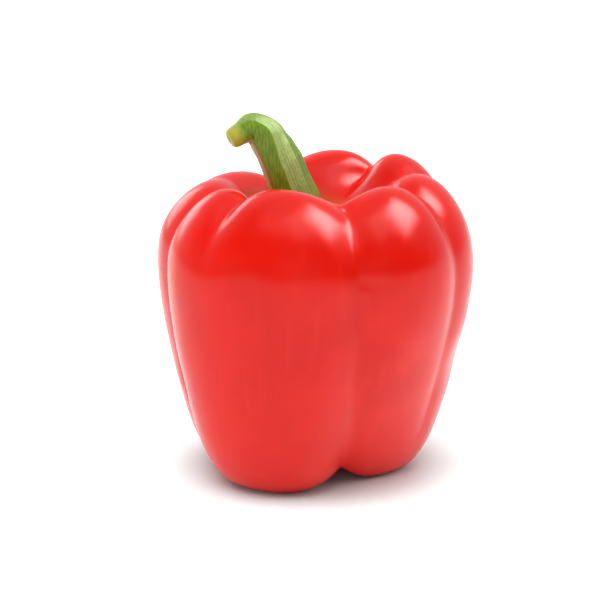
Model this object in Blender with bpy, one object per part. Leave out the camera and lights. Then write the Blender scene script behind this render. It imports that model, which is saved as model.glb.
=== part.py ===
"""Bell pepper: a four-lobed fruit that stands on the tips of its lobes, its calyx and its hooked stem.

Metres, +Z up. The origin is the middle of the fruit's bounding box, on the surface it stands on.
Azimuths are in degrees, anticlockwise from +X as seen from above, so the front of the fruit is at -90.
"""

import math

import bmesh
import bpy
import numpy as np
from mathutils import Vector

MM = 0.001
GAP = 0.3 * MM  # between pieces that meet

# The wall's mean section, as (radius, height) from the blossom end, over the lobe's tip, up the flank,
# over the shoulder and down into the hollow that holds the calyx.
WALL = (
    (0.0, 9.0), (7.0, 8.0), (14.5, 2.6), (21.5, -1.5), (27.6, 1.2), (32.0, 8.3), (35.6, 19.5),
    (39.1, 33.5), (41.6, 46.0), (42.6, 57.0), (41.6, 66.0), (38.2, 73.8), (33.0, 79.8), (26.5, 82.6),
    (21.0, 80.6), (17.4, 75.4), (15.2, 70.4), (12.4, 66.6), (8.0, 64.8), (0.0, 64.2),
)
WALL_ROUNDING = 0.011  # share of the section's length over which its corners are eased
FRUIT_HEIGHT = 82.0
WIDEST_HEIGHT = 57.0
HOLLOW_OFFSET = -4.6  # along X, from the fruit's axis to the floor of the hollow

# Bumps of the shoulder: azimuth, extra reach as a share of the radius, extra height of the crest.
SHOULDER_BUMPS = (
    (-155, 0.052, 0.3),
    (-91, 0.020, 0.7),
    (-50, 0.030, 1.2),
    (-8, 0.030, 0.5),
    (33, 0.030, 3.7),
    (85, 0.000, 0.4),
    (130, 0.000, -3.6),
    (172, 0.052, -3.8),
)
SHOULDER_FOCUS = 7.0  # how narrowly a bump keeps to its azimuth
SHOULDER_FOOT = 0.72 * FRUIT_HEIGHT  # height above which the crest's own height shows
CREST_REACH = 17.0  # from the axis, inside which a bump no longer lifts the hollow

# Reach of the lobes at their tips: azimuth, extra reach as a share of the radius.
LOBE_TIPS = (
    (-110, 0.18),
    (-47, -0.21),
    (-2, 0.04),
    (68, -0.05),
    (162, 0.06),
)
LOBE_TIP_FOCUS = 5.0

# Grooves between lobes, and the short creases that split a lobe's shoulder: azimuth at the shoulder and
# at the foot, half width in degrees, then the depth at the foot, flank, shoulder, crest and in the hollow.
GROOVES = (
    (-74, -72, 16, (6.0, 3.6, 5.4, 7.6, 4.0)),
    (-168, -162, 12, (4.6, 4.4, 5.2, 6.5, 3.4)),
    (14, 28, 14, (4.4, 3.6, 4.6, 7.0, 4.0)),
    (115, 112, 14, (4.4, 3.8, 4.8, 7.0, 3.4)),
    (-133, -133, 9, (0.0, 0.0, 0.3, 5.0, 3.8)),
    (-27, -22, 10, (0.0, 1.4, 2.6, 5.0, 3.8)),
    (55, 60, 10, (0.0, 0.6, 1.8, 7.2, 7.0)),
    (160, 160, 11, (0.0, 0.6, 0.8, 1.2, 1.0)),
)
GROOVE_ROUNDING = 0.18  # how round a groove's bottom is, as a share of its half width
GATHERING = 0.5  # share by which the mesh's meridians close up at a groove
GATHERING_REACH = math.radians(12)

# The calyx lies on the floor of the hollow. Its section runs from the middle of the underside, round the
# rim and over the top to the neck that carries the stem: (share of the way out to the rim, height).
CALYX_SECTION = (
    (0.00, 0.0), (0.50, 0.0), (0.93, 0.0), (1.00, 0.5), (0.95, 1.1), (0.80, 1.7),
    (0.62, 2.6), (0.49, 4.0), (0.44, 5.6), (0.40, 6.0), (0.00, 6.0),
)
CALYX_WIDTH = 10.0  # the section's rim in millimetres, as it is rounded before it is laid on the floor
CALYX_ROUNDING = 0.008
CALYX_REACH = 15.5  # along the hollow's surface, from its middle
CALYX_NECK = (2.0, 5.0)  # heights over which the calyx levels out to its neck
CALYX_TEETH = 5
CALYX_TOOTH_ROOT = 0.5  # share of the way out where the teeth begin
CALYX_TOOTH = 0.10  # how far a tooth reaches past the mean rim, as a share
CALYX_TURN = 18.0  # azimuth of one tooth

# The stem's centre line from the neck to the cut end: (x, y, z, radius).
STEM_PATH = (
    (HOLLOW_OFFSET, 0.0, 70.8, 6.5),
    (HOLLOW_OFFSET, 0.0, 71.8, 6.4),
    (-7.3, 0.2, 78.1, 5.9),
    (-9.0, 0.3, 82.6, 5.75),
    (-11.6, 0.3, 87.5, 5.15),
    (-14.6, 0.0, 91.4, 4.65),
    (-17.2, -0.7, 92.6, 4.0),
    (-19.8, -1.7, 91.4, 3.0),
    (-22.4, -2.8, 90.0, 2.8),
)
STEM_RIBS = 5
STEM_RIB_HEIGHT = 0.05  # as a share of the radius
STEM_SIDES = 25
STEM_STEPS = 4  # lengthwise, between two points of the path

FRUIT_MESH = (96, 52)  # meridians, parallels
CALYX_MESH = (48, 18)


def ease(value, low, high):
    """0 below low, 1 above high, and a smooth step between them."""
    share = np.clip((value - low) / (high - low), 0.0, 1.0)
    return share * share * (3.0 - 2.0 * share)


def eased_through(share, marks, values):
    """The values at the marks, with a smooth step from each to the next."""
    found = values[0]
    for low, high, start, end in zip(marks, marks[1:], values, values[1:]):
        found = found + (end - start) * ease(share, low, high)
    return found


def spline_through(points, steps=24):
    """A smooth line through the points of a section, level where it starts and ends on the axis."""
    points = np.array(points, float)
    ends = points[1] * (-1, 1), points[-2] * (-1, 1)
    guides = np.vstack([ends[0], points, ends[1]])
    share = np.linspace(0.0, 1.0, steps, endpoint=False)[:, None]
    line = []
    for before, start, end, after in zip(guides, guides[1:], guides[2:], guides[3:]):
        knots = np.cumsum([0.0] + [
            math.sqrt(np.linalg.norm(b - a)) for a, b in ((before, start), (start, end), (end, after))
        ])
        at = knots[1] + share * (knots[2] - knots[1])

        def between(a, b, low, high):
            return (high - at) / (high - low) * a + (at - low) / (high - low) * b

        first = between(before, start, knots[0], knots[1])
        middle = between(start, end, knots[1], knots[2])
        last = between(end, after, knots[2], knots[3])
        line.append(between(
            between(first, middle, knots[0], knots[2]),
            between(middle, last, knots[1], knots[3]),
            knots[1], knots[2],
        ))
    return np.vstack([*line, points[-1:]])


class Section:
    """A closed body's section, from the axis below to the axis above, read by its share of the length."""

    SAMPLES = 2001

    def __init__(self, points, rounding):
        line = spline_through(points)
        along = np.r_[0.0, np.cumsum(np.hypot(*np.diff(line, axis=0).T))]
        self.length = along[-1]
        self.share = np.linspace(0.0, 1.0, self.SAMPLES)
        radius = np.interp(self.share, along / along[-1], line[:, 0])
        height = np.interp(self.share, along / along[-1], line[:, 1])
        self.radius = self.eased(radius, rounding, -1.0)
        self.height = self.eased(height, rounding, 1.0)
        run, rise = np.gradient(self.radius), np.gradient(self.height)
        length = np.hypot(run, rise)
        self.out, self.up = rise / length, -run / length

    def eased(self, values, rounding, sign):
        """The values averaged over a bell curve, carried across the axis with the given sign."""
        width = rounding * self.SAMPLES
        reach = int(3 * width)
        bell = np.exp(-0.5 * (np.arange(-reach, reach + 1) / width) ** 2)
        before = sign * values[reach:0:-1] + (1.0 - sign) * values[0]
        after = sign * values[-2:-reach - 2:-1] + (1.0 - sign) * values[-1]
        return np.convolve(np.r_[before, values, after], bell / bell.sum(), "valid")

    def at(self, share):
        """(radius, height, normal's outward part, normal's upward part) at a share of the length."""
        rows = (self.radius, self.height, self.out, self.up)
        return tuple(np.interp(share, self.share, row) for row in rows)


WALL_SECTION = Section(WALL, WALL_ROUNDING)
FOOT, WIDEST, CREST = (
    WALL_SECTION.share[index]
    for index in (
        WALL_SECTION.height.argmin(),
        WALL_SECTION.radius.argmax(),
        WALL_SECTION.height.argmax(),
    )
)
FLOOR = 1.0 - CALYX_REACH / WALL_SECTION.length
NEAR_AXIS = 1e-3  # share of the length from the top, where the skin's direction is still well defined
GROOVE_MARKS = (0.0, FOOT, (FOOT + WIDEST) / 2, WIDEST, CREST, (CREST + FLOOR) / 2, FLOOR)


def spread(azimuth, rows, column, focus):
    """A column of the rows at an azimuth, each row weighing most near its own azimuth."""
    weights = [np.exp(focus * (np.cos(azimuth - math.radians(row[0])) - 1.0)) for row in rows]
    return sum(w * row[column] for w, row in zip(weights, rows)) / sum(weights)


def turn_from(groove, azimuth, height):
    """The angle from a groove's bottom to an azimuth, in radians, at a height of the wall's section."""
    at_shoulder, at_foot = groove[:2]
    middle = at_foot + (at_shoulder - at_foot) * ease(height, 0.0, WIDEST_HEIGHT)
    return (azimuth - np.radians(middle) + math.pi) % math.tau - math.pi


def groove_depth(azimuth, share, height):
    """How far the grooves sink into the wall, along its normal."""
    depth = 0.0
    for groove in GROOVES:
        half_width, depths = groove[2:]
        deepest = eased_through(share, GROOVE_MARKS, (0.0, *depths, 0.0))
        away = turn_from(groove, azimuth, height) / math.radians(half_width)
        fall = np.exp(GROOVE_ROUNDING - np.sqrt(away ** 2 + GROOVE_ROUNDING ** 2))
        depth = depth + deepest * fall
    return depth


def fruit_point(azimuth, share):
    """A point of the fruit's skin in millimetres, by azimuth in radians and share of the wall's section."""
    radius, height, out, up = WALL_SECTION.at(share)
    depth = groove_depth(azimuth, share, height)
    raised = ease(height, 0.0, WIDEST_HEIGHT)
    reach = spread(azimuth, SHOULDER_BUMPS, 1, SHOULDER_FOCUS) * raised
    reach = reach + spread(azimuth, LOBE_TIPS, 1, LOBE_TIP_FOCUS) * (1.0 - raised)
    crest = ease(height, SHOULDER_FOOT, FRUIT_HEIGHT)
    crest = crest * np.where(share > WIDEST, ease(radius, 0.0, CREST_REACH), 1.0)
    lift = spread(azimuth, SHOULDER_BUMPS, 2, SHOULDER_FOCUS) * crest
    across = radius * (1.0 + reach) - out * depth
    aside = HOLLOW_OFFSET * ease(share, CREST, 1.0)
    level = height + lift - up * depth
    return np.stack([across * np.cos(azimuth) + aside, across * np.sin(azimuth), level], -1)


def skin_point(azimuth, share):
    """The fruit's skin as it stands, pressed flat under the lobes' tips, its meridians closer in the grooves."""
    height = WALL_SECTION.at(share)[1]
    shift = 0.0
    for groove in GROOVES:
        turn = turn_from(groove, azimuth, height)
        shift = shift + GATHERING * turn * np.exp(-(turn / GATHERING_REACH) ** 2)
    point = fruit_point(azimuth - shift, share)
    point[..., 2] = np.maximum(point[..., 2], 0.0)
    return point


def fruit_normal(azimuth, share):
    """The skin's outward direction."""
    step = 1e-4
    around = fruit_point(azimuth + step, share) - fruit_point(azimuth - step, share)
    along = fruit_point(azimuth, np.minimum(share + step, 1.0)) - fruit_point(azimuth, share - step)
    normal = np.cross(around, along)
    return normal / np.linalg.norm(normal, axis=-1, keepdims=True)


CALYX = Section([(share * CALYX_WIDTH, height) for share, height in CALYX_SECTION], CALYX_ROUNDING)


def calyx_point(azimuth, share):
    """A point of the calyx in millimetres, laid over the floor of the fruit's hollow."""
    way_out, height, _, _ = CALYX.at(share)
    way_out = way_out / CALYX_WIDTH
    turn = azimuth - math.radians(CALYX_TURN)
    tooth = CALYX_TOOTH * (1.0 - 2.0 * np.abs(np.sin(CALYX_TEETH * turn / 2.0)))
    reach = CALYX_REACH * way_out * (1.0 + tooth * ease(way_out, CALYX_TOOTH_ROOT, 1.0))
    floor = 1.0 - np.maximum(reach / WALL_SECTION.length, NEAR_AXIS)
    point = fruit_point(azimuth, floor)
    point = point + fruit_normal(azimuth, floor) * (GAP / MM + height)[..., None]
    level = WALL_SECTION.height[-1] + GAP / MM + height
    neck = ease(height, *CALYX_NECK)
    point[..., 2] += (level - point[..., 2]) * neck
    return point


def material(name, colour, roughness):
    """A plain surface for one piece."""
    made = bpy.data.materials.new(name)
    made.use_nodes = True
    shader = made.node_tree.nodes["Principled BSDF"]
    shader.inputs["Base Color"].default_value = (*colour, 1.0)
    shader.inputs["Roughness"].default_value = roughness
    shader.inputs["Metallic"].default_value = 0.0
    made.diffuse_color = (*colour, 1.0)
    return made


def add_object(name, data, surface, collection, parent):
    """Puts an object with the given data in the collection, under the parent."""
    made = bpy.data.objects.new(name, data)
    made.data.materials.append(surface)
    made.parent = parent
    collection.objects.link(made)
    return made


def shaped_sphere(name, meridians, parallels, point_at):
    """A UV sphere's mesh, each vertex moved to the point for its azimuth and its share of the section."""
    form = bmesh.new()
    bmesh.ops.create_uvsphere(form, u_segments=meridians, v_segments=parallels, radius=1.0)
    mesh = bpy.data.meshes.new(name)
    form.to_mesh(mesh)
    form.free()
    sphere = np.empty(len(mesh.vertices) * 3, np.float32)
    mesh.vertices.foreach_get("co", sphere)
    x, y, z = sphere.reshape(-1, 3).astype(float).T
    share = np.arcsin(np.clip(z, -1.0, 1.0)) / math.pi + 0.5
    points = point_at(np.arctan2(y, x), share) * MM
    mesh.vertices.foreach_set("co", points.astype(np.float32).ravel())
    mesh.update()
    mesh.shade_smooth()
    return mesh


def ribbed_outline(collection):
    """The stem's cross-section, one millimetre in radius, as a closed curve that guides the stem's bevel."""
    data = bpy.data.curves.new("stem_outline", "CURVE")
    spline = data.splines.new("POLY")
    spline.points.add(STEM_SIDES - 1)
    spline.use_cyclic_u = True
    for index, point in enumerate(spline.points):
        angle = -math.tau * index / STEM_SIDES  # clockwise, so that the sides face out as the ends do
        radius = MM * (1.0 + STEM_RIB_HEIGHT * math.cos(STEM_RIBS * angle))
        point.co = (radius * math.cos(angle), radius * math.sin(angle), 0.0, 1.0)
    outline = bpy.data.objects.new("stem_outline", data)
    outline.hide_render = True
    outline.display_type = "WIRE"
    collection.objects.link(outline)
    return outline


def stem_curve(outline):
    """The stem's centre line, with its radius at each point and flat ends."""
    data = bpy.data.curves.new("stem", "CURVE")
    data.dimensions = "3D"
    data.bevel_mode = "OBJECT"
    data.bevel_object = outline
    data.use_fill_caps = True
    data.resolution_u = STEM_STEPS
    spline = data.splines.new("BEZIER")
    spline.bezier_points.add(len(STEM_PATH) - 1)
    spline.radius_interpolation = "CARDINAL"
    for point, (x, y, z, radius) in zip(spline.bezier_points, STEM_PATH):
        point.co = Vector((x, y, z)) * MM
        point.handle_left_type = point.handle_right_type = "AUTO"
        point.radius = radius
    return data


def main():
    """Builds the pepper in its own collection, centred over the origin."""
    for thing in list(bpy.data.objects):
        bpy.data.objects.remove(thing)
    pieces = bpy.data.collections.new("bell_pepper")
    guides = bpy.data.collections.new("guides")
    for group in (pieces, guides):
        bpy.context.scene.collection.children.link(group)
    guides.hide_render = True

    skin = material("red_skin", (0.64, 0.012, 0.006), 0.2)
    green = material("green_stalk", (0.24, 0.36, 0.06), 0.5)

    flesh = shaped_sphere("fruit", *FRUIT_MESH, skin_point)
    corners = np.array([vertex.co for vertex in flesh.vertices])
    middle = (corners.min(axis=0) + corners.max(axis=0)) / 2

    stand = bpy.data.objects.new("pepper_stand", None)
    stand.location = (-middle[0], -middle[1], 0.0)
    pieces.objects.link(stand)

    add_object("fruit", flesh, skin, pieces, stand)
    add_object("calyx", shaped_sphere("calyx", *CALYX_MESH, calyx_point), green, pieces, stand)
    add_object("stem", stem_curve(ribbed_outline(guides)), green, pieces, stand)


main()
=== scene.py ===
"""Red bell pepper standing on a white table: the fine surface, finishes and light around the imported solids.

Everything is in metres, +Z up. Azimuths are in degrees, anticlockwise from +X as seen from above, so the
front of the pepper is at -90.
"""

from __future__ import annotations

import logging
import math
from dataclasses import dataclass
from enum import Enum
from typing import Any, Callable, Sequence

import bpy
import numpy as np
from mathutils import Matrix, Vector


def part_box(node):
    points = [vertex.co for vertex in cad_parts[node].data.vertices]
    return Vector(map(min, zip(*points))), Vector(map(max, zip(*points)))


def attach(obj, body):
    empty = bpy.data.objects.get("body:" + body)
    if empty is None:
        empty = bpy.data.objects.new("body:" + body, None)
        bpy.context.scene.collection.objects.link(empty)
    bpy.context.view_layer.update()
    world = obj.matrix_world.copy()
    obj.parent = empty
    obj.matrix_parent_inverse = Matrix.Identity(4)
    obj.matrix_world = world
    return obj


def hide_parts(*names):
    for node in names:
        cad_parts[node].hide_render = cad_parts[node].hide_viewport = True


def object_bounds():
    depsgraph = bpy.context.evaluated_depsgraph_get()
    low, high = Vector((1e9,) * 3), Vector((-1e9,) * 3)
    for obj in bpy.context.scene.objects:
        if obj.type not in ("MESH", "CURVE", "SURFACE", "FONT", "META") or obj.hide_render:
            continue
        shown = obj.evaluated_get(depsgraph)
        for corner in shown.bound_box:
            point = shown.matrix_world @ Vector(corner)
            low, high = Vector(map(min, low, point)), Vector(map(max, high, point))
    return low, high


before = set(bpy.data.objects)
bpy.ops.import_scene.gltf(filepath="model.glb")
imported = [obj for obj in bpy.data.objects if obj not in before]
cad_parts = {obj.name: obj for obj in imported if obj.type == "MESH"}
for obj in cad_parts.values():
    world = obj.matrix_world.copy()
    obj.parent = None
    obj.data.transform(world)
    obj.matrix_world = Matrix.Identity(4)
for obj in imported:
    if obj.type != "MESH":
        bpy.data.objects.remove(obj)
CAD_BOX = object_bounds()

MM = 0.001
BODY = "root"
HOLLOW_CENTRE = (-4.15 * MM, -0.03 * MM)
WELD_DISTANCE = 0.002 * MM
FRONT_AZIMUTH = -90.0
LOG = logging.getLogger("bell_pepper")

Socket = bpy.types.NodeSocket
Tree = bpy.types.NodeTree
Span = tuple[float, float]
Triple = tuple[float, float, float]


class Slot(Enum):
    """The record's material slots."""

    SKIN = "red_skin"
    CALYX = "green_calyx"
    STEM = "green_stem"


class Trait(Enum):
    """What a piece's vertices know about their place, each a number from 0 to 1 that a finish reads."""

    HOLLOW = "near_the_calyx"
    BLOSSOM_END = "near_the_blossom_end"
    BLUSH = "on_the_orange_blush"
    ALONG = "along_the_stem"
    CUT = "on_the_cut"
    RIDGE = "on_a_ridge"
    # A painted sheen over the wax, where the surface faces the light.
    BLOOM = "painted_sheen_and_wax"
    # Painted shade on the stem's underside; on the calyx, a brown rim.
    UNDER = "painted_shade_and_brown_rim"


# ---------------------------------------------------------------------------------------------------------
# Small tools
# ---------------------------------------------------------------------------------------------------------


def linear(colour: str) -> tuple[float, float, float, float]:
    """Turns an sRGB colour into the linear values that shaders read.

    Args:
        colour: "#RRGGBB".

    Returns:
        Red, green, blue and an alpha of 1.
    """
    parts = [int(colour[place:place + 2], 16) / 255.0 for place in (1, 3, 5)]
    red, green, blue = (
        part / 12.92 if part <= 0.04045 else ((part + 0.055) / 1.055) ** 2.4 for part in parts
    )
    return red, green, blue, 1.0


def add_node(
    tree: Tree,
    kind: str,
    settings: dict[str | int, Any] | None = None,
    links: dict[str | int, Socket] | None = None,
) -> bpy.types.Node:
    """Adds one node with its settings and its links.

    Args:
        tree: Where it goes.
        kind: The node's type, such as "ShaderNodeMix".
        settings: Values by the name or the index of an input, or by the name of a property where no
            input has that name.
        links: Output sockets by the name or the index of the input that each feeds.

    Returns:
        The node.
    """
    node = tree.nodes.new(kind)
    inputs = {}
    for key, value in (settings or {}).items():
        if isinstance(key, int) or key in node.inputs:
            inputs[key] = value
        else:
            setattr(node, key, value)
    set_inputs(node, inputs)
    for key, socket in (links or {}).items():
        tree.links.new(socket, node.inputs[key])
    return node


def set_inputs(node: bpy.types.Node, values: dict[str | int, Any]) -> None:
    """Sets constant inputs of a node by their names or indices."""
    for key, value in values.items():
        node.inputs[key].default_value = value


class Curve(Enum):
    """How a blend goes from its start to its end."""

    SMOOTH = "SMOOTHSTEP"
    STRAIGHT = "LINEAR"


@dataclass(frozen=True)
class Blend:
    """A change from one result to another as a value goes from low to high, held at both ends."""

    low: float = 0.0
    high: float = 1.0
    start: float = 0.0
    end: float = 1.0
    curve: Curve = Curve.SMOOTH

    @property
    def settings(self) -> dict[str | int, Any]:
        """Gives what a Map Range node needs to make this blend.

        Returns:
            Values by the names of its inputs and properties.
        """
        return {
            "interpolation_type": self.curve.value,
            "From Min": self.low,
            "From Max": self.high,
            "To Min": self.start,
            "To Max": self.end,
        }


@dataclass(frozen=True)
class Grain:
    """A soft random pattern: how wide its patches are, and how fast it changes upwards as against across."""

    size_mm: float
    detail: float = 2.0
    roughness: float = 0.5
    upward_rate: float = 1.0

    def lay(self, tree: Tree, place: Socket) -> Socket:
        """Lays the pattern on a piece, at its real size.

        Args:
            tree: The material's nodes.
            place: Object coordinates.

        Returns:
            The pattern's socket, from 0 to 1.
        """
        stretch = {"Scale": (1.0, 1.0, self.upward_rate)}
        drawn = add_node(tree, "ShaderNodeMapping", stretch, {"Vector": place}).outputs["Vector"]
        settings = {"Scale": 1.0 / (self.size_mm * MM), "Detail": self.detail, "Roughness": self.roughness}
        return add_node(tree, "ShaderNodeTexNoise", settings, {"Vector": drawn}).outputs["Fac"]


def lay_colours(tree: Tree, base: str, layers: Sequence[tuple[Socket, Blend, str]]) -> Socket:
    """Lays colours one over another.

    Args:
        tree: The material's nodes.
        base: The lowest colour, "#RRGGBB".
        layers: From the lowest up: the value that a layer follows, the blend that turns that value into
            the layer's strength, and the layer's colour.

    Returns:
        The resulting colour's socket.
    """
    below: dict[str | int, Socket] = {}
    for value, blend, colour in layers:
        strength = add_node(tree, "ShaderNodeMapRange", blend.settings, {"Value": value}).outputs["Result"]
        colours = {"data_type": "RGBA", 6: linear(base), 7: linear(colour)}
        below[6] = add_node(tree, "ShaderNodeMix", colours, {0: strength, **below}).outputs[2]
    return below[6]


def start_material(name: str) -> tuple[bpy.types.Material, Tree, bpy.types.Node]:
    """Starts a material.

    Args:
        name: The material's name.

    Returns:
        The material, its nodes and its principled shader.
    """
    material = bpy.data.materials.new(name)
    material.use_nodes = True
    return material, material.node_tree, material.node_tree.nodes["Principled BSDF"]


def pick(piece: bpy.types.Object) -> None:
    """Makes a piece the only one that operators act on.

    Args:
        piece: The piece.
    """
    bpy.ops.object.select_all(action="DESELECT")
    piece.select_set(True)
    bpy.context.view_layer.objects.active = piece


def edit(piece: bpy.types.Object, *steps: Callable[[], Any]) -> None:
    """Runs operators on a piece in edit mode, on the parts that are selected.

    Args:
        piece: The piece.
        steps: The operators, in order, each ready to call.
    """
    pick(piece)
    bpy.ops.object.mode_set(mode="EDIT")
    for step in steps:
        step()
    bpy.ops.object.mode_set(mode="OBJECT")


def extrude_up(rise: float) -> None:
    """Extrudes the selected face straight up, by metres."""
    bpy.ops.mesh.extrude_region_move(TRANSFORM_OT_translate={"value": (0.0, 0.0, rise)})


def finish_with(piece: bpy.types.Object, kind: str, **settings: Any) -> None:
    """Adds a modifier to a piece and applies it.

    Args:
        piece: The piece.
        kind: The modifier's type.
        settings: Its properties.
    """
    pick(piece)
    modifier = piece.modifiers.new(kind.lower(), kind)
    for key, value in settings.items():
        setattr(modifier, key, value)
    bpy.ops.object.modifier_apply(modifier=modifier.name)


def ruffle(piece: bpy.types.Object, name: str, size: float, depth: float, octaves: int = 1) -> None:
    """Raises and sinks a piece's surface a little in soft random waves.

    Args:
        piece: The piece.
        name: The pattern's name.
        size: The waves' size in metres.
        depth: From the lowest to the highest in metres.
        octaves: How many finer patterns are laid over the first.
    """
    waves = bpy.data.textures.new(name, "CLOUDS")
    waves.noise_scale = size
    waves.noise_depth = octaves
    finish_with(piece, "DISPLACE", texture=waves, strength=depth, mid_level=0.5)


def places(piece: bpy.types.Object) -> np.ndarray:
    """Reads where a piece's vertices are.

    Args:
        piece: The piece.

    Returns:
        One row of x, y and z for each, in metres.
    """
    flat = np.empty(len(piece.data.vertices) * 3, np.float32)
    piece.data.vertices.foreach_get("co", flat)
    return flat.reshape(-1, 3).astype(float)


def directions(piece: bpy.types.Object) -> np.ndarray:
    """Reads which way a piece's vertices face.

    Args:
        piece: The piece.

    Returns:
        One row for each, of length 1.
    """
    flat = np.empty(len(piece.data.vertices) * 3, np.float32)
    piece.data.vertex_normals.foreach_get("vector", flat)
    return flat.reshape(-1, 3).astype(float)


def set_places(piece: bpy.types.Object, points: np.ndarray) -> None:
    """Moves a piece's vertices to the given places."""
    piece.data.vertices.foreach_set("co", points.astype(np.float32).ravel())
    piece.data.update()


def set_trait(piece: bpy.types.Object, trait: Trait, values: np.ndarray) -> None:
    """Writes a trait on a piece's vertices.

    Args:
        piece: The piece.
        trait: Which trait.
        values: One number for each vertex.
    """
    attribute = piece.data.attributes.new(trait.value, "FLOAT", "POINT")
    attribute.data.foreach_set("value", np.clip(values, 0.0, 1.0).astype(np.float32))


def ease(value: np.ndarray, low: float, high: float) -> np.ndarray:
    """Steps smoothly from 0 to 1.

    Args:
        value: What is read.
        low: The value that gives 0.
        high: The value that gives 1.

    Returns:
        The result for each value.
    """
    share = np.clip((value - low) / (high - low), 0.0, 1.0)
    return share * share * (3.0 - 2.0 * share)


def turn_between(angle: np.ndarray, azimuth: float) -> np.ndarray:
    """How far angles in radians lie from an azimuth in degrees, in degrees from -180 to 180."""
    return (np.degrees(angle) - azimuth + 180.0) % 360.0 - 180.0


def on_sphere(azimuth: float, elevation: float, distance: float) -> Vector:
    """Finds a point on a sphere round the origin.

    Args:
        azimuth: In degrees.
        elevation: In degrees.
        distance: The sphere's radius in metres.

    Returns:
        The point.
    """
    turn, tilt = math.radians(azimuth), math.radians(elevation)
    level = math.cos(tilt)
    return distance * Vector((math.cos(turn) * level, math.sin(turn) * level, math.sin(tilt)))


def copy_of_node(node: str, name: str) -> bpy.types.Object:
    """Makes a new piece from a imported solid, as one closed mesh of four-sided faces where they pair up.

    Args:
        node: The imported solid's name.
        name: The new piece's name.

    Returns:
        The new piece, at the origin.
    """
    piece = bpy.data.objects.new(name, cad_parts[node].data.copy())
    bpy.context.scene.collection.objects.link(piece)
    piece.data.materials.clear()
    edit(
        piece,
        lambda: bpy.ops.mesh.select_all(action="SELECT"),
        lambda: bpy.ops.mesh.remove_doubles(threshold=WELD_DISTANCE),
        lambda: bpy.ops.mesh.tris_convert_to_quads(face_threshold=math.pi, shape_threshold=math.pi),
        lambda: bpy.ops.mesh.select_all(action="DESELECT"),
    )
    return piece


def hand_over(piece: bpy.types.Object, node: str, material: bpy.types.Material) -> None:
    """Gives a finished piece its material and its place in the model.

    Args:
        piece: The finished piece.
        node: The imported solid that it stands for.
        material: Its finish.
    """
    piece.data.materials.clear()
    piece.data.materials.append(material)
    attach(piece, BODY)
    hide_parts(node)
    LOG.info("%s: %d faces", piece.name, len(piece.data.polygons))


# ---------------------------------------------------------------------------------------------------------
# Finishes
# ---------------------------------------------------------------------------------------------------------


@dataclass(frozen=True)
class PepperSkin:
    """Ripe capsicum skin under its natural wax: smooth, satin-edged gloss over one clear, warm red.

    Each share says how a pattern or a trait turns into the strength of the colour that it lays on.
    """

    ripe: str = "#DE1608"
    deep: str = "#D41105"
    warm: str = "#E6250A"
    blush: str = "#EE5A12"
    unripe: str = "#B4761E"
    patches: Grain = Grain(18.0)
    streaks: Grain = Grain(3.0, detail=3.0, upward_rate=0.1)
    ripples: Grain = Grain(3.5)
    ripe_share: Blend = Blend(0.3, 0.7)
    warm_share: Blend = Blend(0.5, 0.8, 0.0, 0.3)
    blush_share: Blend = Blend(end=0.4)
    hollow_share: Blend = Blend(end=0.55)
    scar_share: Blend = Blend(0.55, 1.0, 0.0, 0.8)
    roughness: Blend = Blend(0.2, 0.8, 0.2, 0.25)
    ior: float = 1.34
    translucency: float = 0.08
    glow_through: Triple = (1.0, 0.12, 0.06)
    glow_depth: float = 2.5 * MM

    def colour(self, tree: Tree, place: Socket) -> Socket:
        """The skin's colour: broad patches, faint upright streaks, the blush and the two scarred ends.

        Args:
            tree: The finish's nodes.
            place: Object coordinates.

        Returns:
            The colour's socket.
        """
        blush, hollow, scar = (
            add_node(tree, "ShaderNodeAttribute", {"attribute_name": trait.value}).outputs["Fac"]
            for trait in (Trait.BLUSH, Trait.HOLLOW, Trait.BLOSSOM_END)
        )
        return lay_colours(tree, self.deep, (
            (self.patches.lay(tree, place), self.ripe_share, self.ripe),
            (self.streaks.lay(tree, place), self.warm_share, self.warm),
            (blush, self.blush_share, self.blush),
            (hollow, self.hollow_share, self.unripe),
            (scar, self.scar_share, self.unripe),
        ))

    def material(self) -> bpy.types.Material:
        """Builds the finish.

        Returns:
            The material.
        """
        material, tree, shader = start_material("capsicum_skin_waxed")
        place = add_node(tree, "ShaderNodeTexCoord").outputs["Object"]
        tree.links.new(self.colour(tree, place), shader.inputs["Base Color"])
        ripples = {"Value": self.ripples.lay(tree, place)}
        rough = add_node(tree, "ShaderNodeMapRange", self.roughness.settings, ripples).outputs["Result"]
        tree.links.new(rough, shader.inputs["Roughness"])
        set_inputs(shader, {
            "IOR": self.ior,
            "Subsurface Weight": self.translucency,
            "Subsurface Radius": self.glow_through,
            "Subsurface Scale": self.glow_depth,
        })
        return material


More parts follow.
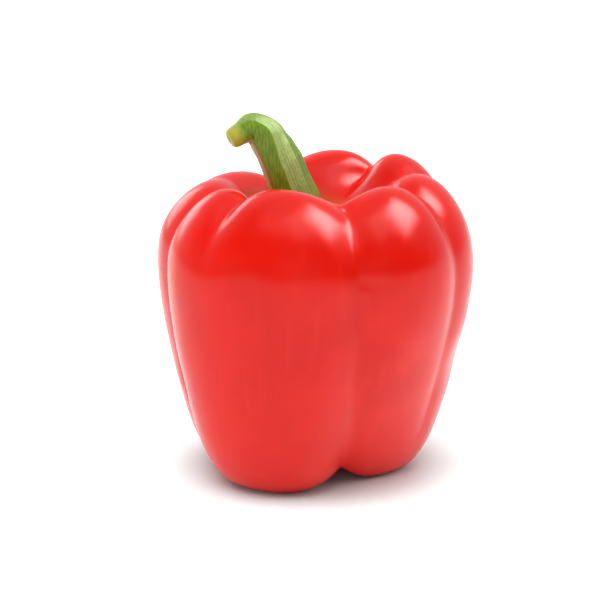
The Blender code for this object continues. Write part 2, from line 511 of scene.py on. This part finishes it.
@dataclass(frozen=True)
class StalkTissue:
    """Green stalk: waxy, with a pale painted sheen where it meets the light, painted brown shade underneath,
    yellow at its cut end.

    Each share says how a pattern or a trait turns into the strength of the colour that it lays on.
    """

    name: str = "capsicum_stalk_waxy"
    green: str = "#7A9822"
    shade: str = "#587A12"
    ridge: str = "#A3B84F"
    wax_bloom_and_sheen: str = "#9DB364"
    painted_shade_and_pith_brown: str = "#8A6A1C"
    painted_shade_tan: str = "#C3AE7C"
    foot: str = "#77741C"
    tip: str = "#AEA433"
    # Real strands are finer. These are as coarse as they need to be to show.
    fibres: Grain = Grain(0.45, upward_rate=0.15)
    cells: Grain = Grain(0.9, detail=3.0, roughness=0.6)
    green_share: Blend = Blend(0.3, 0.7)
    wax_and_sheen_share: Blend = Blend(0.38, 0.6, 0.6, 1.0)
    ridge_share: Blend = Blend(0.3, 1.0, 0.0, 0.7)
    painted_shade_share: Blend = Blend(0.25, 0.75, 0.0, 0.8)
    painted_shade_tan_share: Blend = Blend(0.72, 1.0, 0.0, 0.85)
    foot_share: Blend = Blend(0.0, 0.28, 0.6, 0.0)
    tip_share: Blend = Blend(0.86, 0.97, 0.0, 0.9)
    pith_share: Blend = Blend(0.3, 1.0, 0.0, 0.5)
    roughness: Blend = Blend(0.3, 0.7, 0.34, 0.5)
    bump_strength: float = 0.6
    bump_depth: float = 0.12 * MM
    ior: float = 1.42
    translucency: float = 0.1
    glow_through: Triple = (0.5, 1.0, 0.15)
    glow_depth: float = 1.0 * MM

    def colour(self, tree: Tree, cells: Socket, fibres: Socket) -> Socket:
        """The stalk's colour: green with pale ridges, a painted sheen over the wax, painted brown and tan
        shade underneath, foot and cut end.

        Args:
            tree: The finish's nodes.
            cells: The fine pattern of its cells.
            fibres: The pattern of its strands.

        Returns:
            The colour's socket.
        """
        wax_bloom_and_sheen, ridge, under, along, cut = (
            add_node(tree, "ShaderNodeAttribute", {"attribute_name": trait.value}).outputs["Fac"]
            for trait in (Trait.BLOOM, Trait.RIDGE, Trait.UNDER, Trait.ALONG, Trait.CUT)
        )
        wax_and_sheen_mottle = add_node(tree, "ShaderNodeMapRange", self.wax_and_sheen_share.settings, {"Value": cells})
        factors = {0: wax_bloom_and_sheen, 1: wax_and_sheen_mottle.outputs["Result"]}
        wax_and_sheen = add_node(tree, "ShaderNodeMath", {"operation": "MULTIPLY"}, factors).outputs["Value"]
        return lay_colours(tree, self.shade, (
            (fibres, self.green_share, self.green),
            # Painted sheen over the wax, on the side that faces the light.
            (wax_and_sheen, Blend(curve=Curve.STRAIGHT), self.wax_bloom_and_sheen),
            (ridge, self.ridge_share, self.ridge),
            # Painted shade: brown, then tan, on the underside.
            (under, self.painted_shade_share, self.painted_shade_and_pith_brown),
            (under, self.painted_shade_tan_share, self.painted_shade_tan),
            (along, self.foot_share, self.foot),
            (along, self.tip_share, self.tip),
            (cut, self.pith_share, self.painted_shade_and_pith_brown),
        ))

    def material(self) -> bpy.types.Material:
        """Builds the finish.

        Returns:
            The material.
        """
        material, tree, shader = start_material(self.name)
        place = add_node(tree, "ShaderNodeTexCoord").outputs["Object"]
        cells, fibres = self.cells.lay(tree, place), self.fibres.lay(tree, place)
        tree.links.new(self.colour(tree, cells, fibres), shader.inputs["Base Color"])
        rough = add_node(tree, "ShaderNodeMapRange", self.roughness.settings, {"Value": cells})
        tree.links.new(rough.outputs["Result"], shader.inputs["Roughness"])
        settings = {"Strength": self.bump_strength, "Distance": self.bump_depth}
        bump = add_node(tree, "ShaderNodeBump", settings, {"Height": cells}).outputs["Normal"]
        tree.links.new(bump, shader.inputs["Normal"])
        set_inputs(shader, {
            "IOR": self.ior,
            "Subsurface Weight": self.translucency,
            "Subsurface Radius": self.glow_through,
            "Subsurface Scale": self.glow_depth,
        })
        return material


# ---------------------------------------------------------------------------------------------------------
# The pepper
# ---------------------------------------------------------------------------------------------------------


@dataclass(frozen=True)
class Dent:
    """A shallow dent or swelling pressed into the skin.

    Azimuth is in degrees; height, reach and depth are in millimetres, and a negative depth swells.
    """

    azimuth: float
    height: float
    reach: float
    depth: float


@dataclass
class Fruit:
    """The fruit's skin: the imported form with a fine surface, its dents and its natural unevenness."""

    node: str = "fruit"
    smoothing: int = 2
    waves_mm: tuple[Span, ...] = ((24.0, 0.45), (10.0, 0.12))
    dents: tuple[Dent, ...] = (
        Dent(-116.0, 58.0, 11.0, 0.3),
        Dent(-71.0, 59.4, 3.4, 0.16),
        Dent(-67.5, 59.0, 3.6, 0.18),
        Dent(-64.0, 59.2, 3.4, 0.1),
        Dent(-160.0, 26.0, 9.0, 0.6),
        Dent(-12.0, 30.0, 12.0, 0.6),
        Dent(-40.0, 38.0, 14.0, 0.4),
        Dent(70.0, 40.0, 14.0, 0.5),
        Dent(140.0, 52.0, 12.0, 0.6),
        Dent(95.0, 22.0, 11.0, 0.5),
    )
    # Dents are pressed only where the skin is at least this far from the axis, so never in the hollow.
    outside: float = 24.0 * MM
    # Where the skin is tinted: the hollow's floor, the blossom end and a patch on the left shoulder.
    hollow_heights: Span = (55.0 * MM, 74.0 * MM)
    hollow_ring: Span = (13.0 * MM, 19.0 * MM)
    blossom_height: float = 14.0 * MM
    blossom_ring: Span = (0.5 * MM, 5.0 * MM)
    blush_azimuth: float = -151.0
    blush_height: float = 56.0 * MM
    blush_spread: Span = (4.5, 15.0 * MM)

    def press(self, piece: bpy.types.Object, dent: Dent) -> None:
        """Presses one dent into the skin, with soft edges.

        Args:
            piece: The skin.
            dent: Where, how wide and how deep.
        """
        points = places(piece)
        inward = -on_sphere(dent.azimuth, 0.0, dent.depth * MM)
        radius = np.hypot(points[:, 0], points[:, 1])
        aside = np.radians(turn_between(np.arctan2(points[:, 1], points[:, 0]), dent.azimuth)) * radius
        far = np.hypot(aside, points[:, 2] - dent.height * MM)
        middle = int(np.argmin(np.where(radius > self.outside, far, 1.0)))
        piece.data.vertices[middle].select = True
        edit(
            piece,
            lambda: bpy.ops.transform.translate(
                value=tuple(inward), use_proportional_edit=True,
                proportional_edit_falloff="SMOOTH", proportional_size=dent.reach * MM,
            ),
            lambda: bpy.ops.mesh.select_all(action="DESELECT"),
        )

    def build(self) -> bpy.types.Object:
        """Models the skin.

        Returns:
            The finished piece.
        """
        piece = copy_of_node(self.node, "fruit_skin")
        low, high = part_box(self.node)
        finish_with(
            piece, "SUBSURF", levels=self.smoothing, render_levels=self.smoothing, boundary_smooth="ALL"
        )
        for dent in self.dents:
            self.press(piece, dent)
        for size, depth in self.waves_mm:
            ruffle(piece, "skin_waves", size * MM, depth * MM)
        points = np.clip(places(piece), np.array(low), np.array(high))
        set_places(piece, points)
        self.mark(piece, points)
        pick(piece)
        bpy.ops.object.shade_smooth()
        return piece

    def mark(self, piece: bpy.types.Object, points: np.ndarray) -> None:
        """Writes the traits that the skin's colour reads.

        Args:
            piece: The skin.
            points: The places of its vertices.
        """
        height = points[:, 2]
        from_stem = np.hypot(*(points[:, :2] - np.array(HOLLOW_CENTRE)).T)
        inside = (height > self.hollow_heights[0]) & (height < self.hollow_heights[1])
        set_trait(piece, Trait.HOLLOW, np.where(inside, 1.0 - ease(from_stem, *self.hollow_ring), 0.0))
        under = height < self.blossom_height
        from_axis = np.hypot(points[:, 0], points[:, 1])
        set_trait(piece, Trait.BLOSSOM_END, np.where(under, 1.0 - ease(from_axis, *self.blossom_ring), 0.0))
        turn = turn_between(np.arctan2(points[:, 1], points[:, 0]), self.blush_azimuth)
        wide, tall = self.blush_spread
        rise = (height - self.blush_height) / tall
        set_trait(piece, Trait.BLUSH, np.exp(-(turn / wide) ** 2 - rise ** 2))


@dataclass
class Calyx:
    """The green cap of joined sepals on the floor of the hollow."""

    node: str = "calyx"
    smoothing: int = 2
    lump_size: float = 4.0 * MM
    lump_depth: float = 0.35 * MM
    veins: int = 15
    vein_depth: float = 0.22 * MM
    vein_sway: float = 0.6
    # How far upwards the surface has to face, and how far out it has to lie, for the veins to show.
    level: Span = (0.2, 0.8)
    vein_start: Span = (5.0 * MM, 8.0 * MM)
    browned: Span = (12.0 * MM, 15.5 * MM)
    browning: float = 0.6
    reach: float = 16.0 * MM
    greenness: Span = (0.3, 0.8)
    # Strength of the painted sheen over the wax, on the faces that turn up to the light.
    wax_and_sheen: float = 0.35

    def build(self) -> bpy.types.Object:
        """Models the calyx.

        Returns:
            The finished piece.
        """
        piece = copy_of_node(self.node, "calyx_cap")
        finish_with(piece, "SUBSURF", levels=self.smoothing, render_levels=self.smoothing)
        ruffle(piece, "sepal_lumps", self.lump_size, self.lump_depth, octaves=2)
        points, facing = places(piece), directions(piece)
        across = points[:, :2] - np.array(HOLLOW_CENTRE)
        away = np.hypot(*across.T)
        angle = np.arctan2(across[:, 1], across[:, 0])
        top = ease(facing[:, 2], *self.level) * ease(away, *self.vein_start)
        between = np.abs(np.sin(self.veins * angle / 2.0 + self.vein_sway * np.sin(2.0 * angle)))
        points = points - facing * (self.vein_depth * between * top)[:, None]
        low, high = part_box(self.node)
        set_places(piece, np.clip(points, np.array(low), np.array(high)))
        inner, outer = self.greenness
        set_trait(piece, Trait.RIDGE, top * (1.0 - between))
        set_trait(piece, Trait.ALONG, inner + (outer - inner) * ease(away, 0.0, self.reach))
        set_trait(piece, Trait.BLOOM, self.wax_and_sheen * top)
        set_trait(piece, Trait.UNDER, self.browning * ease(away, *self.browned))
        pick(piece)
        bpy.ops.object.shade_smooth()
        return piece


@dataclass(frozen=True)
class Ridge:
    """One lengthwise ridge of the stem.

    Azimuth and width are in degrees, and height is a share of the stem's radius.
    """

    azimuth: float
    height: float
    width: float


@dataclass(frozen=True)
class Knuckle:
    """A small swelling on the stem, by azimuth in degrees and distance along it in millimetres."""

    azimuth: float
    along: float
    height: float


@dataclass
class Stem:
    """The hooked stem: a stalk with uneven ridges and fine strands, laid along its own route, its end cut.

    Depths and heights across the stem are shares of its radius, angles are in degrees, and the names of
    distances along it end in mm.
    """

    node: str = "stem"
    # x, y, z and radius, from the foot to the cut.
    route_mm: tuple[tuple[float, float, float, float], ...] = (
        (-4.15, -0.03, 70.65, 6.5),
        (-4.2, -0.02, 71.7, 6.35),
        (-5.1, 0.04, 74.2, 6.05),
        (-6.85, 0.17, 78.1, 5.9),
        (-8.55, 0.27, 82.6, 5.75),
        (-11.15, 0.27, 87.5, 5.2),
        (-14.15, -0.03, 91.4, 4.65),
        (-16.75, -0.73, 92.55, 4.0),
        (-19.35, -1.73, 91.4, 3.05),
        (-21.35, -2.6, 90.35, 2.8),
    )
    sides: int = 160
    stations: int = 70
    ridges: tuple[Ridge, ...] = (
        Ridge(-86.0, 0.1, 5.0),
        Ridge(-93.0, 0.03, 2.2),
        Ridge(-99.5, 0.028, 2.2),
        Ridge(-62.0, 0.014, 2.5),
        Ridge(-38.0, 0.05, 12.0),
        Ridge(24.0, 0.07, 14.0),
        Ridge(92.0, 0.08, 12.0),
        Ridge(160.0, 0.05, 16.0),
        Ridge(-146.0, 0.035, 16.0),
    )
    knuckles: tuple[Knuckle, ...] = (
        Knuckle(-20.0, 21.5, 0.035),
        Knuckle(-10.0, 17.6, 0.03),
        Knuckle(-15.0, 13.6, 0.03),
    )
    strands: int = 46
    strand_depth: float = 0.011
    strand_sway: float = 1.3
    valley: float = 0.962
    # The ridges fade out and the stalk twists as it comes over the bend.
    smooth_mm: Span = (23.0, 29.0)
    twist_mm: Span = (13.0, 29.0)
    twist: float = 38.0
    foot_mm: float = 0.4
    step_mm: float = 0.2
    knuckle_width: float = 40.0
    knuckle_mm: float = 1.1
    # How far each last extrusion goes on in millimetres, and how much it shrinks.
    cut_steps: tuple[Span, ...] = (
        (0.45, 0.96),
        (0.4, 0.9),
        (0.3, 0.84),
        (0.1, 0.8),
        (-0.08, 0.7),
        (-0.12, 0.5),
    )
    cut_from_mm: float = 0.9
    cut_ring: Span = (0.3, 0.65)
    tip_mm: float = 1.0
    crease: float = 50.0
    # Only ridges higher than this share are paler than the stalk.
    pale_ridge: float = 0.06
    pale_width: float = 4.0
    # The painted sheen: a pale band over the wax on the side that faces the light, stronger past the foot and
    # fading over the bend.
    sheen_azimuth: float = -62.0
    sheen_width: Span = (20.0, 25.0)
    sheen_gain: Blend = Blend(3.0, 12.0, 0.45, 1.0)
    sheen_loss: Blend = Blend(19.0, 26.0, 1.0, 0.4)
    # Painted shade: brown and tan on the side that faces down.
    painted_shade_width: Span = (28.0, 72.0)

    def outline(self, angle: np.ndarray) -> np.ndarray:
        """The stem's cross-section.

        Args:
            angle: In radians, round the stem.

        Returns:
            The radius there, as a share of the mean.
        """
        radius = np.full_like(angle, self.valley)
        for ridge in self.ridges:
            away = turn_between(angle, ridge.azimuth)
            radius = radius + ridge.height * np.exp(-np.abs(away) / ridge.width)
        sway = self.strand_sway * np.sin(3.0 * angle)
        return radius + self.strand_depth * np.cos(self.strands * angle + sway)

    def along_route(self, at: np.ndarray) -> np.ndarray:
        """Reads the route at distances along it, carried straight on past its ends.

        Args:
            at: Distances from the foot, in millimetres.

        Returns:
            A row of x, y, z and radius for each, in millimetres.
        """
        route = np.array(self.route_mm)
        steps = np.linalg.norm(np.diff(route[:, :3], axis=0), axis=1)
        along = np.r_[0.0, np.cumsum(steps)]
        slopes = np.gradient(route, along, axis=0)
        held = np.clip(at, 0.0, along[-1])
        index = np.clip(np.searchsorted(along, held, "right") - 1, 0, len(steps) - 1)
        length = steps[index][:, None]
        t = ((held - along[index]) / steps[index])[:, None]
        found = (
            (2 * t ** 3 - 3 * t ** 2 + 1) * route[index]
            + (t ** 3 - 2 * t ** 2 + t) * length * slopes[index]
            + (3 * t ** 2 - 2 * t ** 3) * route[index + 1]
            + (t ** 3 - t ** 2) * length * slopes[index + 1]
        )
        return found + np.where((at > along[-1])[:, None], (at - held)[:, None] * slopes[-1], 0.0)

    def length(self) -> float:
        """The route's length in millimetres."""
        return float(np.linalg.norm(np.diff(np.array(self.route_mm)[:, :3], axis=0), axis=1).sum())

    def build(self) -> bpy.types.Object:
        """Models the stem, first as a straight stalk and then laid along its route.

        Returns:
            The finished piece.
        """
        bpy.ops.object.select_all(action="DESELECT")
        bpy.ops.mesh.primitive_circle_add(vertices=self.sides, radius=MM, fill_type="NGON")
        piece = bpy.context.object
        piece.name = "stem_stalk"
        ring = places(piece)
        set_places(piece, ring * self.outline(np.arctan2(ring[:, 1], ring[:, 0]))[:, None])
        rise = self.length() / self.stations * MM
        edit(
            piece,
            lambda: bpy.ops.mesh.select_all(action="SELECT"),
            *[lambda: extrude_up(rise)] * self.stations,
            self.round_the_cut,
        )
        self.lay_along_route(piece)
        pick(piece)
        bpy.ops.object.shade_smooth_by_angle(angle=math.radians(self.crease))
        return piece

    def round_the_cut(self) -> None:
        """Rounds the straight stalk's cut end over and sinks its pith a little."""
        level = self.length() * MM
        for advance, shrink in self.cut_steps:
            level += advance * MM
            extrude_up(advance * MM)
            bpy.ops.transform.resize(value=(shrink, shrink, 1.0), center_override=(0.0, 0.0, level))

    def lay_along_route(self, piece: bpy.types.Object) -> None:
        """Bends the straight stalk along the route, swells its knuckles and writes its traits.

        Args:
            piece: The stalk, one millimetre in radius.
        """
        straight = places(piece) / MM
        at = straight[:, 2]
        angle = np.arctan2(straight[:, 1], straight[:, 0])
        outward = np.hypot(straight[:, 0], straight[:, 1])
        row = self.along_route(at)
        ahead = (self.along_route(at + self.step_mm) - self.along_route(at - self.step_mm))[:, :3]
        ahead[at < self.foot_mm] = (0.0, 0.0, 1.0)
        ahead = ahead / np.linalg.norm(ahead, axis=1, keepdims=True)
        side = np.cross((0.0, 1.0, 0.0), ahead)
        side = side / np.linalg.norm(side, axis=1, keepdims=True)
        around = angle + np.radians(self.twist * ease(at, *self.twist_mm))
        rounded = ease(at, *self.smooth_mm)
        outline = self.outline(angle)
        width = row[:, 3] * outward / outline * (outline + (1.0 - outline) * rounded)
        for knuckle in self.knuckles:
            aside = turn_between(angle, knuckle.azimuth) / self.knuckle_width
            beyond = (at - knuckle.along) / self.knuckle_mm
            width = width * (1.0 + knuckle.height * np.exp(-(aside ** 2) - beyond ** 2))
        points = (
            row[:, :3]
            + side * (np.cos(around) * width)[:, None]
            + np.cross(ahead, side) * (np.sin(around) * width)[:, None]
        )
        low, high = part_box(self.node)
        set_places(piece, np.clip(points * MM, np.array(low), np.array(high)))
        self.mark(piece, at, angle, around, outward)

    def mark(
        self,
        piece: bpy.types.Object,
        at: np.ndarray,
        angle: np.ndarray,
        around: np.ndarray,
        outward: np.ndarray,
    ) -> None:
        """Writes the traits that the stalk's colour reads.

        Args:
            piece: The stem.
            at: How far along the stem its vertices are, in millimetres.
            angle: Where they are round the straight stalk, in radians.
            around: Where they are round the twisted one.
            outward: How far they are from the straight stalk's middle, in millimetres.
        """
        pale = [
            np.exp(-np.abs(turn_between(angle, ridge.azimuth)) / self.pale_width)
            for ridge in self.ridges if ridge.height > self.pale_ridge
        ]
        # Painted sheen over the wax, on the side that faces the light.
        wax_and_sheen = 1.0 - ease(np.abs(turn_between(angle, self.sheen_azimuth)), *self.sheen_width)
        for blend in (self.sheen_gain, self.sheen_loss):
            wax_and_sheen = wax_and_sheen * (blend.start + (blend.end - blend.start) * ease(at, blend.low, blend.high))
        cut = at > self.length() + self.cut_from_mm
        set_trait(piece, Trait.ALONG, at / (self.length() + self.tip_mm))
        set_trait(piece, Trait.RIDGE, np.max(pale, axis=0) * (1.0 - ease(at, *self.smooth_mm)))
        set_trait(piece, Trait.CUT, np.where(cut, 1.0 - ease(outward, *self.cut_ring), 0.0))
        set_trait(piece, Trait.BLOOM, wax_and_sheen)
        # Painted shade on the side that faces down.
        set_trait(piece, Trait.UNDER, 1.0 - ease(np.abs(turn_between(around, 180.0)), *self.painted_shade_width))


# ---------------------------------------------------------------------------------------------------------
# The studio
# ---------------------------------------------------------------------------------------------------------


class Reach(Enum):
    """What a light is there for."""

    GLOSS = "its reflection in the skin"
    FILL = "even light with no reflection of its own"
    BOTH = "light and reflection"


@dataclass(frozen=True)
class SoftLight:
    """One softbox: a square or oblong sheet of even white light that faces the pepper.

    Azimuth and elevation are in degrees, sizes in metres and radiance in watts per square metre and
    steradian.
    """

    name: str
    azimuth: float
    elevation: float
    distance: float
    width: float
    height: float
    radiance: float
    reach: Reach = Reach.BOTH

    def place(self, target: Vector) -> None:
        """Adds the light.

        Args:
            target: The point that it faces.
        """
        data = bpy.data.lights.new(self.name, "AREA")
        data.shape = "RECTANGLE"
        data.size = self.width
        data.size_y = self.height
        data.energy = self.radiance * math.pi * self.width * self.height
        light = bpy.data.objects.new(self.name, data)
        bpy.context.scene.collection.objects.link(light)
        light.location = target + on_sphere(self.azimuth, self.elevation, self.distance)
        light.rotation_euler = (target - light.location).to_track_quat("-Z", "Y").to_euler()
        light.visible_camera = False
        light.visible_glossy = self.reach is not Reach.FILL
        light.visible_diffuse = self.reach is not Reach.GLOSS


@dataclass
class Studio:
    """A pale table in a white room that sheds more light from behind the pepper than from in front."""

    white: str = "#FFFFFF"
    table_size: float = 6.0
    table_colour: str = "#DDF0F0"
    table_roughness: float = 0.45
    table_glow: Blend = Blend(0.026, 0.05, 0.0, 0.46)
    room_glow: Blend = Blend(-0.35, 0.6, 0.05, 0.8)
    lights: tuple[SoftLight, ...] = (
        SoftLight("softbox_over_core", -8.0, 55.0, 0.8, 0.36, 0.36, 9.0, Reach.GLOSS),
        SoftLight("softbox_over_edge", -8.0, 56.0, 0.81, 0.6, 0.54, 9.0, Reach.GLOSS),
        SoftLight("softbox_over_side", -48.0, 62.0, 0.82, 0.8, 0.5, 1.8, Reach.GLOSS),
        SoftLight("fill_over", -115.0, 72.0, 1.1, 1.0, 1.0, 3.9, Reach.FILL),
        SoftLight("fill_left", -165.0, 11.0, 1.0, 0.9, 0.35, 1.5, Reach.FILL),
        SoftLight("fill_front", -85.0, 12.0, 1.1, 1.0, 0.6, 0.9, Reach.FILL),
        SoftLight("fill_right", -5.0, 32.0, 1.1, 0.8, 0.7, 1.5, Reach.FILL),
        SoftLight("fill_back", 60.0, 35.0, 1.0, 0.8, 0.6, 1.0, Reach.FILL),
        SoftLight("softbox_back_left", 126.0, 18.0, 0.9, 0.45, 0.4, 2.6),
    )

    def lay_table(self) -> None:
        """Lays the table's top, which glows faintly beyond the pepper's foot so that it shows as white."""
        bpy.ops.mesh.primitive_plane_add(size=self.table_size, location=(0.0, 0.0, 0.0))
        table = bpy.context.object
        table.name = "table"
        # White laminate, pressed smooth: an even, pale surface with next to no shine.
        material, tree, shader = start_material("white_laminate")
        set_inputs(shader, {
            "Base Color": linear(self.table_colour),
            "Roughness": self.table_roughness,
            "Emission Color": linear(self.white),
        })
        place = add_node(tree, "ShaderNodeTexCoord").outputs["Object"]
        away = add_node(tree, "ShaderNodeVectorMath", {"operation": "LENGTH"}, {0: place}).outputs["Value"]
        glow = add_node(tree, "ShaderNodeMapRange", self.table_glow.settings, {"Value": away})
        tree.links.new(glow.outputs["Result"], shader.inputs["Emission Strength"])
        table.data.materials.append(material)

    def fill_room(self) -> None:
        """Fills the room with soft light, bright behind the pepper and dark in front of it."""
        world = bpy.data.worlds.new("studio")
        bpy.context.scene.world = world
        world.use_nodes = True
        tree = world.node_tree
        tree.nodes.clear()
        white = linear(self.white)
        direction = add_node(tree, "ShaderNodeTexCoord").outputs["Generated"]
        depth = add_node(tree, "ShaderNodeSeparateXYZ", {}, {"Vector": direction}).outputs["Y"]
        glow = add_node(tree, "ShaderNodeMapRange", self.room_glow.settings, {"Value": depth})
        room = add_node(
            tree, "ShaderNodeBackground", {"Color": white}, {"Strength": glow.outputs["Result"]}
        )
        wall = add_node(tree, "ShaderNodeBackground", {"Color": white, "Strength": 1.0})
        to_camera = add_node(tree, "ShaderNodeLightPath").outputs["Is Camera Ray"]
        both = add_node(
            tree, "ShaderNodeMixShader", {},
            {0: to_camera, 1: room.outputs["Background"], 2: wall.outputs["Background"]},
        )
        add_node(tree, "ShaderNodeOutputWorld", {}, {"Surface": both.outputs["Shader"]})

    def build(self, target: Vector) -> None:
        """Sets up the table, the room and the lights.

        Args:
            target: The point that the lights face.
        """
        self.lay_table()
        self.fill_room()
        for light in self.lights:
            light.place(target)
        bpy.context.scene.view_settings.view_transform = "Standard"


@dataclass
class Viewpoint:
    """A long lens a little above the table, in front of the pepper."""

    aim: Triple = (0.45 * MM, -0.03 * MM, 45.0 * MM)
    elevation: float = 15.0
    distance: float = 0.7
    lens_mm: float = 156.7
    sensor_mm: float = 36.0
    shift: Span = (-0.0275, 0.0033)

    def build(self) -> None:
        """Adds the camera and makes it the scene's own."""
        data = bpy.data.cameras.new("camera")
        data.lens = self.lens_mm
        data.sensor_width = self.sensor_mm
        data.shift_x, data.shift_y = self.shift
        camera = bpy.data.objects.new("camera", data)
        bpy.context.scene.collection.objects.link(camera)
        target = Vector(self.aim)
        camera.location = target + on_sphere(FRONT_AZIMUTH, self.elevation, self.distance)
        camera.rotation_euler = (target - camera.location).to_track_quat("-Z", "Y").to_euler()
        bpy.context.scene.camera = camera


def main() -> None:
    """Builds the pepper, piece by piece, and then its studio."""
    logging.basicConfig(level=logging.INFO, format="%(name)s: %(message)s")
    bpy.ops.object.select_all(action="DESELECT")
    skin = PepperSkin().material()
    stalk = StalkTissue().material()
    cap = StalkTissue(name="capsicum_calyx").material()
    hand_over(Fruit().build(), "fruit", skin)
    hand_over(Calyx().build(), "calyx", cap)
    hand_over(Stem().build(), "stem", stalk)
    Viewpoint().build()
    Studio().build(Vector((0.0, 0.0, 0.5 * CAD_BOX[1][2])))


if __name__ == "__main__":
    main()
